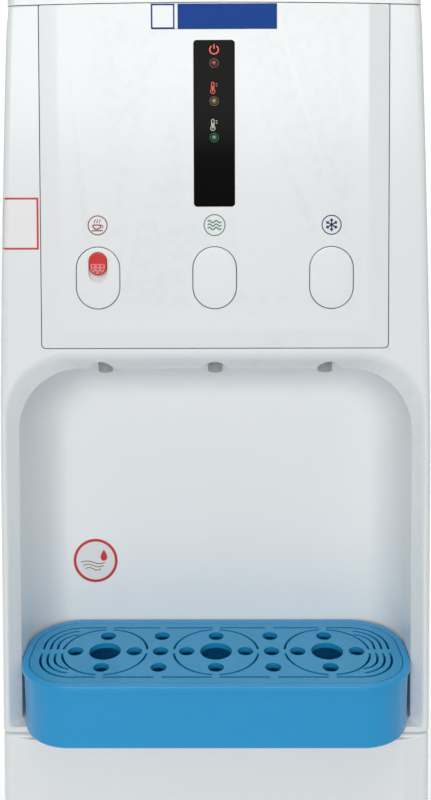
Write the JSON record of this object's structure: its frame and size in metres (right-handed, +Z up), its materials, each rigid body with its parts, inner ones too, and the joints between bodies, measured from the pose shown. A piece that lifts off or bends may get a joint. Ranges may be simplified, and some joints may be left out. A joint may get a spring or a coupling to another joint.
{
  "type": "water dispenser",
  "caption": "Floor-standing bottled-water dispenser: push-button taps over an arched niche with a blue drip tray, and a cooling cabinet behind a lower door.",
  "frame": {"origin": "on the floor, at the middle of the whole box", "axes": "+Z up, the front with the taps faces -Y, +X to the right as seen from the front"},
  "size_m": [0.319, 0.3357, 1],
  "materials": {
    "white_shell": "glossy cool-white moulded ABS",
    "white_paint": "semi-gloss white powder-coated sheet steel",
    "blue_plastic": "glossy sky-blue moulded ABS",
    "red_plastic": "glossy red plastic",
    "green_plastic": "glossy green plastic",
    "black_gloss": "near-black mirror-gloss acrylic",
    "black_plastic": "satin black plastic",
    "badge_blue": "plain blue and white enamelled plate",
    "board_green": "printed circuit board with lamps",
    "clear_nozzle": "milky translucent plastic",
    "tap_plastic": "satin grey plastic",
    "stainless": "brushed stainless steel",
    "spring_steel": "bright drawn spring wire",
    "copper": "drawn copper tube",
    "black_steel": "black-painted steel",
    "foam": "cream rigid insulating foam",
    "hose": "translucent silicone hose",
    "gasket": "soft grey magnetic door seal",
    "rubber": "black rubber"
  },
  "bodies": {
    "cabinet": {"front_fascia": "white_shell", "niche_liner": "white_shell", "top_cover": "white_shell", "control_panel": "white_shell", "base_plinth": "white_shell", "cabinet_liner": "white_shell", "cabinet_shelf": "white_shell", "left_side_panel": "white_paint", "right_side_panel": "white_paint", "rear_panel": "white_paint", "foot_front_left": "rubber", "foot_front_right": "rubber", "foot_rear_left": "rubber", "foot_rear_right": "rubber", "display_window": "black_gloss", "badge_plate": "badge_blue", "indicator_board": "board_green", "cabinet_insulation": "foam", "tank_insulation": "foam", "evaporator_coil": "copper", "cold_tank": "stainless", "hot_tank": "stainless", "upper_hinge": "stainless", "lower_hinge": "stainless", "compressor": "black_steel", "condenser_coil": "black_steel", "drain_pipe": "tap_plastic", "power_inlet": "black_plastic", "switch_housing": "black_plastic", "hot_tap_body": "tap_plastic", "hot_nozzle": "clear_nozzle", "hot_hose": "hose", "hot_return_spring": "spring_steel", "normal_tap_body": "tap_plastic", "normal_nozzle": "clear_nozzle", "normal_hose": "hose", "normal_return_spring": "spring_steel", "cold_tap_body": "tap_plastic", "cold_nozzle": "clear_nozzle", "cold_hose": "hose", "cold_return_spring": "spring_steel"},
    "door": {"door_panel": "white_shell", "door_liner": "white_shell", "door_gasket": "gasket"},
    "drip_tray": {"drip_tub": "blue_plastic"},
    "grille": {"drip_grille": "blue_plastic"},
    "funnel": {"bottle_funnel": "white_shell"},
    "child_lock": {"child_lock": "red_plastic"},
    "heater_rocker": {"heater_switch": "red_plastic"},
    "cooling_rocker": {"cooling_switch": "green_plastic"},
    "drain_plug": {"drain_cap": "black_plastic"},
    "hot_button": {"hot_button": "white_shell"},
    "hot_lever": {"hot_tap_lever": "black_plastic"},
    "hot_stem": {"hot_valve_stem": "stainless"},
    "normal_button": {"normal_button": "white_shell"},
    "normal_lever": {"normal_tap_lever": "black_plastic"},
    "normal_stem": {"normal_valve_stem": "stainless"},
    "cold_button": {"cold_button": "white_shell"},
    "cold_lever": {"cold_tap_lever": "black_plastic"},
    "cold_stem": {"cold_valve_stem": "stainless"}
  },
  "joints": [
    {"name": "door_swing", "type": "hinge", "parent": "cabinet", "child": "door", "pos_m": [0.1515, -0.12745, 0.2316], "axis": [0, 0, 1], "range_deg": [0, 110]},
    {"name": "drip_tray_slide", "type": "slide", "parent": "cabinet", "child": "drip_tray", "axis": [0, -1, 0], "range_m": [0, 0.11]},
    {"name": "grille_lift", "type": "slide", "parent": "drip_tray", "child": "grille", "axis": [0, 0, 1], "range_m": [0, 0.06]},
    {"name": "funnel_lift", "type": "slide", "parent": "cabinet", "child": "funnel", "axis": [0, 0, 1], "range_m": [0, 0.12]},
    {"name": "heater_switch_rock", "type": "hinge", "parent": "cabinet", "child": "heater_rocker", "pos_m": [0.084, 0.15705, 0.918], "axis": [-1, 0, 0], "range_deg": [0, 20]},
    {"name": "cooling_switch_rock", "type": "hinge", "parent": "cabinet", "child": "cooling_rocker", "pos_m": [0.108, 0.15705, 0.918], "axis": [-1, 0, 0], "range_deg": [0, 20]},
    {"name": "drain_cap_turn", "type": "hinge", "parent": "cabinet", "child": "drain_plug", "pos_m": [-0.06, 0.16305, 0.445], "axis": [0, 1, 0], "continuous": true},
    {"name": "hot_button_press", "type": "slide", "parent": "cabinet", "child": "hot_button", "axis": [0, 1, 0], "range_m": [0, 0.005], "stiffness_N_per_m": 400, "springref_m": -0.001},
    {"name": "hot_lever_turn", "type": "hinge", "parent": "cabinet", "child": "hot_lever", "pos_m": [-0.085, -0.11345, 0.742], "axis": [-1, 0, 0], "range_deg": [0, 20]},
    {"name": "hot_valve_slide", "type": "slide", "parent": "cabinet", "child": "hot_stem", "axis": [0, 0, -1], "range_m": [0, 0.0043], "deforming": ["hot_return_spring"]},
    {"name": "normal_button_press", "type": "slide", "parent": "cabinet", "child": "normal_button", "axis": [0, 1, 0], "range_m": [0, 0.005], "stiffness_N_per_m": 400, "springref_m": -0.001},
    {"name": "normal_lever_turn", "type": "hinge", "parent": "cabinet", "child": "normal_lever", "pos_m": [0, -0.11345, 0.742], "axis": [-1, 0, 0], "range_deg": [0, 20]},
    {"name": "normal_valve_slide", "type": "slide", "parent": "cabinet", "child": "normal_stem", "axis": [0, 0, -1], "range_m": [0, 0.0043], "deforming": ["normal_return_spring"]},
    {"name": "cold_button_press", "type": "slide", "parent": "cabinet", "child": "cold_button", "axis": [0, 1, 0], "range_m": [0, 0.005], "stiffness_N_per_m": 400, "springref_m": -0.001},
    {"name": "cold_lever_turn", "type": "hinge", "parent": "cabinet", "child": "cold_lever", "pos_m": [0.085, -0.11345, 0.742], "axis": [-1, 0, 0], "range_deg": [0, 20]},
    {"name": "cold_valve_slide", "type": "slide", "parent": "cabinet", "child": "cold_stem", "axis": [0, 0, -1], "range_m": [0, 0.0043], "deforming": ["cold_return_spring"]},
    {"name": "child_lock_slide", "type": "slide", "parent": "hot_button", "child": "child_lock", "axis": [0, 0, -1], "range_m": [0, 0.0045], "stiffness_N_per_m": 150, "springref_m": -0.001}
  ],
  "couplings": [
    {"joint": "hot_lever_turn", "follows": "hot_button_press", "rad_per_m": 59.3},
    {"joint": "hot_valve_slide", "follows": "hot_button_press", "ratio": 0.85},
    {"joint": "normal_lever_turn", "follows": "normal_button_press", "rad_per_m": 59.3},
    {"joint": "normal_valve_slide", "follows": "normal_button_press", "ratio": 0.85},
    {"joint": "cold_lever_turn", "follows": "cold_button_press", "rad_per_m": 59.3},
    {"joint": "cold_valve_slide", "follows": "cold_button_press", "ratio": 0.85}
  ]
}
